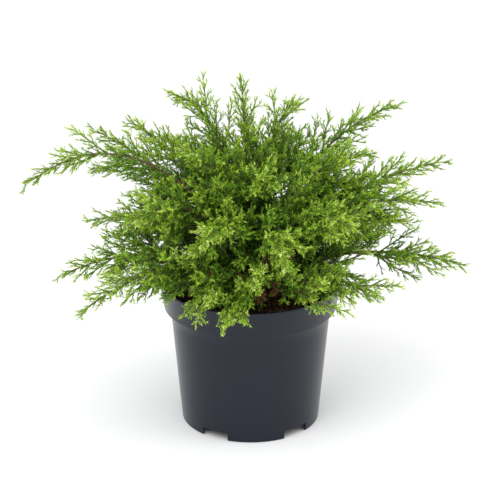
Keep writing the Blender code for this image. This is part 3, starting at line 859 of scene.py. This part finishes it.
def make_twigs(name, twigs, colour, nodes):
    """One piece of woody or green twigs, the thick ones rounder than the fine ones."""
    points, faces, count = [], [], 0
    for order, (sides, stations, tip_share) in enumerate(TWIG_SHAPES):
        own = [twig for twig in twigs if twig.order == order]
        if own:
            new_points, new_faces = tubes(own, sides, stations, tip_share)
            points.append(new_points)
            faces.append(new_faces + count)
            count += len(new_points)
    mesh = mesh_of(name, np.concatenate(points), np.concatenate(faces))
    material = two_tone(name.replace("_", " "), *shades(colour, 0.25), scale=300.0, roughness=0.7)
    made = piece(name, mesh, material)
    made.data.shade_smooth()
    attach(made, "root")
    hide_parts(*nodes)


# The needles

def needle_arrays(twigs, rng):
    """Points of every needle, four to each, and the tint of each needle."""
    roots, bends, tips = arrays(twigs)
    lengths = np.linalg.norm(bends - roots, axis=1) + np.linalg.norm(tips - bends, axis=1)
    orders = np.array([twig.order for twig in twigs])
    counts = (lengths * np.array(NEEDLES_PER_METRE)[orders]).astype(int)
    counts = np.maximum(FEWEST_NEEDLES, counts)
    which = np.repeat(np.arange(len(twigs)), counts)
    step = np.arange(len(which)) - np.repeat(np.cumsum(counts) - counts, counts)
    share = ((step + FIRST_NEEDLE) / counts[which])[:, None]
    parts = roots[which], bends[which], tips[which]
    middle = curve_points(*parts, share)
    forward = curve_directions(*parts, share)
    across, upright = square_to(forward)
    turn = (step % WHORL) * math.tau / WHORL + (step // WHORL) * math.pi / WHORL
    turn += rng.uniform(-NEEDLE_TURN_JITTER, NEEDLE_TURN_JITTER, len(step))
    turn = turn[:, None]
    out = across * np.cos(turn) + upright * np.sin(turn)
    foot_angle, tip_angle = NEEDLE_SPREAD
    angle = foot_angle + (tip_angle - foot_angle) * share ** 2
    angle += rng.uniform(-NEEDLE_ANGLE_JITTER, NEEDLE_ANGLE_JITTER, share.shape)
    angle = np.radians(angle)
    along = forward * np.cos(angle) + out * np.sin(angle)
    size = rng.uniform(*NEEDLE_SIZES, share.shape) * (1 - NEEDLE_SHRINK * share ** 3)
    side = np.cross(along, out)
    side /= np.linalg.norm(side, axis=1, keepdims=True)
    under = np.cross(along, side)
    foot = middle + out * NEEDLE_RAISE
    width = NEEDLE_WIDTH / 2 * size
    points = np.stack(
        [
            foot + side * width,
            foot - side * width,
            foot + under * NEEDLE_KEEL * size,
            middle + along * NEEDLE_LENGTH * size,
        ],
        axis=1,
    )
    tint = np.array([twig.tint for twig in twigs])[which]
    tint += NEEDLE_TINT_GAIN * (share[:, 0] - NEEDLE_TINT_EVEN)
    return points, tint + rng.uniform(-NEEDLE_TINT_JITTER, NEEDLE_TINT_JITTER, len(tint))


def facing_out(points):
    """The four faces of a needle, in the order that turns them outwards."""
    left, right, keel, tip = points[0]
    volume = np.dot(right - left, np.cross(keel - left, tip - left))
    faces = np.array([(0, 2, 1), (0, 1, 3), (1, 2, 3), (2, 0, 3)])
    return faces if volume > 0 else faces[:, ::-1]


def make_needles(name, points, colour, nodes):
    """The needles of one tint, in pieces of a bounded size."""
    faces = facing_out(points)
    for number, start in enumerate(range(0, len(points), NEEDLES_PER_PIECE), 1):
        own = points[start:start + NEEDLES_PER_PIECE]
        triangles = faces[None] + 4 * np.arange(len(own))[:, None, None]
        mesh = mesh_of(name, own.reshape(-1, 3), triangles.reshape(-1, 3))
        material = two_tone(
            f"{name} {number}".replace("_", " "),
            *shades(colour),
            scale=120.0,
            roughness=0.55,
            specular=0.2,
        )
        made = piece(f"{name}_{number}", mesh, material)
        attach(made, "root")
        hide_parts(*nodes)


def make_plant():
    bark = two_tone(
        "flaking bark",
        *BARK_COLOURS,
        scale=220.0,
        roughness=0.85,
        bump=0.7,
        bump_scale=500.0,
        specular=0.2,
    )
    make_trunk(bark)
    plumes = (*PLUMES, CREST)
    twigs = []
    for number, plume in enumerate(plumes):
        limb = limb_of(plume, number)
        if plume.bare:
            make_bough(plume, limb, number, bark)
        twigs += grow_plume(plume, limb, number)
    nodes = [f"foliage_{plume.name}" for plume in plumes]
    live = [twig for twig in twigs if not twig.dead]
    dead = [twig for twig in twigs if twig.dead]
    brown = [twig for twig in twigs if twig.order == LEADER_ORDER or twig.dead]
    make_twigs("brown_twigs", brown, BROWN_TWIG_COLOUR, nodes)
    orders = ((SIDE_ORDER, "side_twigs"), (TWIGLET_ORDER, "twiglets"), (SHOOTLET_ORDER, "shootlets"))
    for order, name in orders:
        own = [twig for twig in live if twig.order == order]
        make_twigs(name, own, GREEN_TWIG_COLOUR, nodes)
    rng = np.random.default_rng(SEED)
    points, tint = needle_arrays(live, rng)
    # each needle's tint, with its painted shade and painted light, picks one of the greens
    band = np.digitize(tint, TINT_STEPS)
    for number, (word, colour) in enumerate(TINTS):
        own = points[band == number]
        if len(own):
            make_needles(f"needles_{word}", own, colour, nodes)
    points, _ = needle_arrays(dead, rng)
    make_needles("needles_dead", points, DEAD_COLOUR, nodes)


make_camera()
make_floor()
make_lights()
make_pot()
make_medium()
scatter("bark_chips", CHIPS, CHIP_SIZE, CHIP_COLOURS, SEED)
scatter("pale_grit", GRITS, GRIT_SIZE, GRIT_COLOURS, SEED + 1)
make_plant()
